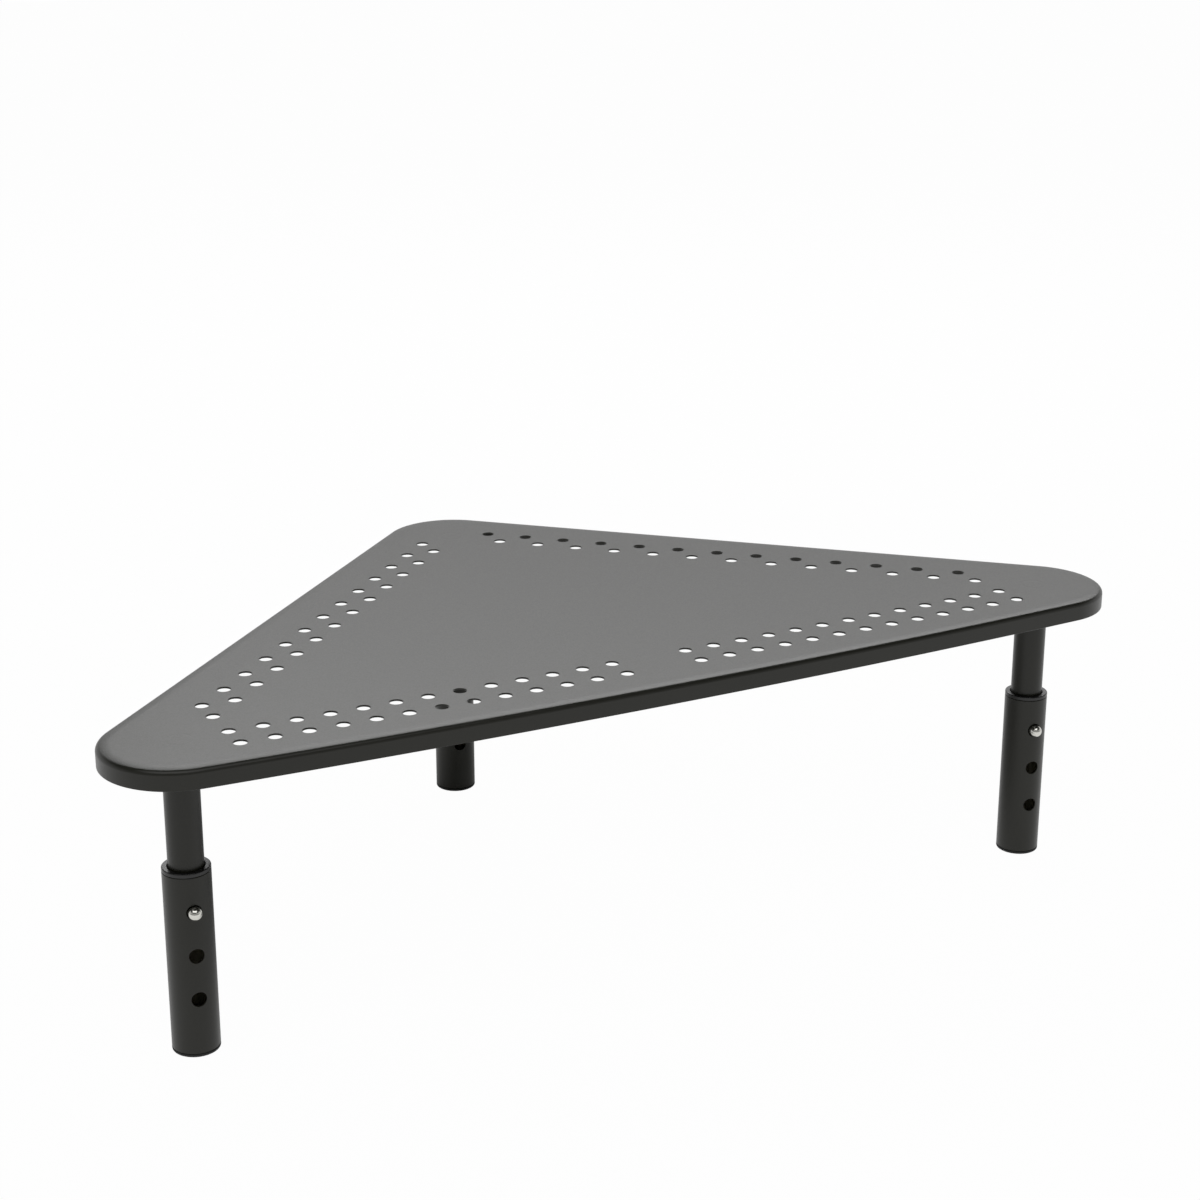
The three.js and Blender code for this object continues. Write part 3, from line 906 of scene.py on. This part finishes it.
# The bodies of the pieces that move, which end in the leg's name; the other pieces ride on the stand
bodyOf = {"outer_tube": "leg_", "upper_guide": "leg_", "rubber_foot": "leg_", "snap_button": "button_"}
for title, (node, finishes, slotName, surfaces) in legPieces.items():
    for name in legNames:
        body = bodyOf[node] + name if node in bodyOf else "stand"
        piece = makePiece(title + name.capitalize(), atLeg(surfaces, name), finishes, body,
                          node + "_" + name)
        if node == "button_spring":
            closeSpring(piece)
print("legs made")


# Floor, light and camera, in metres
studio = {
    "floorColour": "#f4f4f4",
    "floorHalf": 6,
    "floorDrop": 0.00002,  # under the feet, so that the two don't share a plane
    "cameraGlow": 0.98,  # share of the floor's white that doesn't wait for light, for rays that see it
    "mirrorGlow": 0.84,  # the same share as it shows in gloss and metal, well away from the riser
    "paintedShadeInner": 0.06,  # distances from the middle between which the painted shade in those mirrors ends, as their glow fades in
    "paintedShadeOuter": 0.27,
    "backDegrees": 28.29,  # the bright back wall stands this way from +Y, towards +X
    "frontFrom": -0.9,  # cosines of the way round from it between which the front wall gives way to it
    "backFrom": 0.7,
    "footTop": 0.05,  # sines of heights: the front wall is darkest up to here, and brightens up to wallLow
    "wallLow": 0.3,  # from here up to wallHigh the walls give way to a dimmer ceiling
    "wallHigh": 0.6,
    "ceiling": 0.07,
    "frontFoot": 0.15,  # the front wall is dark along the floor
    "frontWall": 0.45,
    "backWall": 0.88,
    "whiteSeen": 0.99,  # what the camera sees of the room
    "softboxes": {  # place, size and brightness
        "backSoftbox": ((0.85, 1.3, 1.25), (1.7, 0.6), 3.75),
        "frontLeftSoftbox": ((-0.5, -0.7, 1.6), (2.0, 1.3), 1.4),
    },
}
camera = {
    "place": (-0.48542, -0.95932, 0.49322),
    "headingDegrees": 28.29,
    "tiltDegrees": 18.37,
    "rollDegrees": 0.09,
    "lens": 70.14,
    "sensor": 36,
    "clipStart": 0.01,
}


# Plain white floor: it takes the shadow, and the camera finds it nearly white. So do gloss and metal, but
# for a painted shade under the riser: the glow that they see fades out towards the middle
def makeFloor():
    half = studio["floorHalf"]
    mesh = bpy.data.meshes.new("studioFloor")
    corners = [(-half, -half), (half, -half), (half, half), (-half, half)]
    mesh.from_pydata([(x, y, -studio["floorDrop"]) for x, y in corners], [], [(0, 1, 2, 3)])
    floor = bpy.data.objects.new("studioFloor", mesh)
    bpy.context.scene.collection.objects.link(floor)
    material, tree, place = startMaterial("paleFloorPaper")
    rays = addNode(tree, "ShaderNodeLightPath", {}, {})
    away = addNode(tree, "ShaderNodeVectorMath", {"operation": "LENGTH"}, {0: place}).outputs["Value"]
    # Painted shade: in gloss and metal the floor's glow fades out towards the middle, as if the riser shaded
    # it there
    glowPastPaintedShade = addNode(tree, "ShaderNodeMapRange", {"interpolation_type": "SMOOTHSTEP"}, {
        "Value": away, "From Min": studio["paintedShadeInner"], "From Max": studio["paintedShadeOuter"],
        "To Min": 0, "To Max": studio["mirrorGlow"]})
    mirrored = addNode(tree, "ShaderNodeMath", {"operation": "MULTIPLY"}, {
        0: rays.outputs["Is Glossy Ray"], 1: glowPastPaintedShade.outputs["Result"]})
    direct = addNode(tree, "ShaderNodeMath", {"operation": "MAXIMUM"}, {
        0: rays.outputs["Is Camera Ray"], 1: rays.outputs["Is Transmission Ray"]})
    direct = addNode(tree, "ShaderNodeMath", {"operation": "MULTIPLY"}, {
        0: direct.outputs[0], 1: studio["cameraGlow"]})
    share = addNode(tree, "ShaderNodeMath", {"operation": "MAXIMUM"}, {
        0: direct.outputs[0], 1: mirrored.outputs[0]})
    paper = addNode(tree, "ShaderNodeBsdfDiffuse", {}, {"Color": linear(studio["floorColour"])})
    glow = addNode(tree, "ShaderNodeEmission", {}, {"Color": (1, 1, 1, 1), "Strength": 1})
    mix = addNode(tree, "ShaderNodeMixShader", {}, {
        0: share.outputs[0], 1: paper.outputs[0], 2: glow.outputs[0]})
    addNode(tree, "ShaderNodeOutputMaterial", {}, {"Surface": mix.outputs[0]})
    mesh.materials.append(material)


# A white room: bright walls, most so at the back and darkest along the front's foot, under a dim ceiling.
# The camera sees it plain white. A Mix node's numbers are its inputs 2 and 3
def makeWorld():
    world = bpy.data.worlds.new("whiteStudio")
    world.use_nodes = True
    tree = world.node_tree
    tree.nodes.clear()
    direction = addNode(tree, "ShaderNodeTexCoord", {}, {}).outputs["Generated"]
    height = addNode(tree, "ShaderNodeSeparateXYZ", {}, {0: direction}).outputs["Z"]
    wall = addNode(tree, "ShaderNodeMapRange", {"interpolation_type": "SMOOTHSTEP"}, {
        "Value": height, "From Min": studio["wallLow"], "From Max": studio["wallHigh"],
        "To Min": 1, "To Max": 0})
    front = addNode(tree, "ShaderNodeMapRange", {"interpolation_type": "SMOOTHSTEP"}, {
        "Value": height, "From Min": studio["footTop"], "From Max": studio["wallLow"],
        "To Min": studio["frontFoot"], "To Max": studio["frontWall"]})
    heading = math.radians(studio["backDegrees"])
    towards = addNode(tree, "ShaderNodeVectorMath", {"operation": "DOT_PRODUCT"}, {
        0: direction, 1: (math.sin(heading), math.cos(heading), 0)})
    side = addNode(tree, "ShaderNodeMapRange", {"interpolation_type": "SMOOTHSTEP"}, {
        "Value": towards.outputs["Value"], "From Min": studio["frontFrom"], "From Max": studio["backFrom"],
        "To Min": front.outputs["Result"], "To Max": studio["backWall"]})
    level = addNode(tree, "ShaderNodeMix", {"data_type": "FLOAT"}, {
        0: wall.outputs["Result"], 2: studio["ceiling"], 3: side.outputs["Result"]})
    seen = addNode(tree, "ShaderNodeLightPath", {}, {}).outputs["Is Camera Ray"]
    strength = addNode(tree, "ShaderNodeMix", {"data_type": "FLOAT"}, {
        0: seen, 2: level.outputs[0], 3: studio["whiteSeen"]})
    sky = addNode(tree, "ShaderNodeBackground", {}, {"Color": (1, 1, 1, 1), "Strength": strength.outputs[0]})
    addNode(tree, "ShaderNodeOutputWorld", {}, {"Surface": sky.outputs[0]})
    bpy.context.scene.world = world


# Each softbox faces the riser; its power is brightness * pi * area
def makeSoftboxes():
    for name, (place, size, brightness) in studio["softboxes"].items():
        light = bpy.data.lights.new(name, "AREA")
        light.shape = "RECTANGLE"
        light.size, light.size_y = size
        light.energy = brightness * math.pi * size[0] * size[1]
        lamp = bpy.data.objects.new(name, light)
        lamp.location = place
        lamp.rotation_euler = Vector(place).to_track_quat("Z", "Y").to_euler()
        bpy.context.scene.collection.objects.link(lamp)


# The camera turns from +Y by its heading, looks down by its tilt, and rolls about its own line of sight
def makeCamera():
    data = bpy.data.cameras.new("photoCamera")
    data.lens = camera["lens"]
    data.sensor_width = camera["sensor"]
    data.clip_start = camera["clipStart"]
    view = bpy.data.objects.new("photoCamera", data)
    turn = Matrix.Rotation(-math.radians(camera["headingDegrees"]), 4, "Z")
    tilt = Matrix.Rotation(quarterTurn - math.radians(camera["tiltDegrees"]), 4, "X")
    roll = Matrix.Rotation(math.radians(camera["rollDegrees"]), 4, "Z")
    view.matrix_world = Matrix.Translation(camera["place"]) @ turn @ tilt @ roll
    bpy.context.scene.collection.objects.link(view)
    bpy.context.scene.camera = view


makeFloor()
makeWorld()
makeSoftboxes()
makeCamera()
bpy.context.scene.view_settings.view_transform = "Standard"
print("studio made")
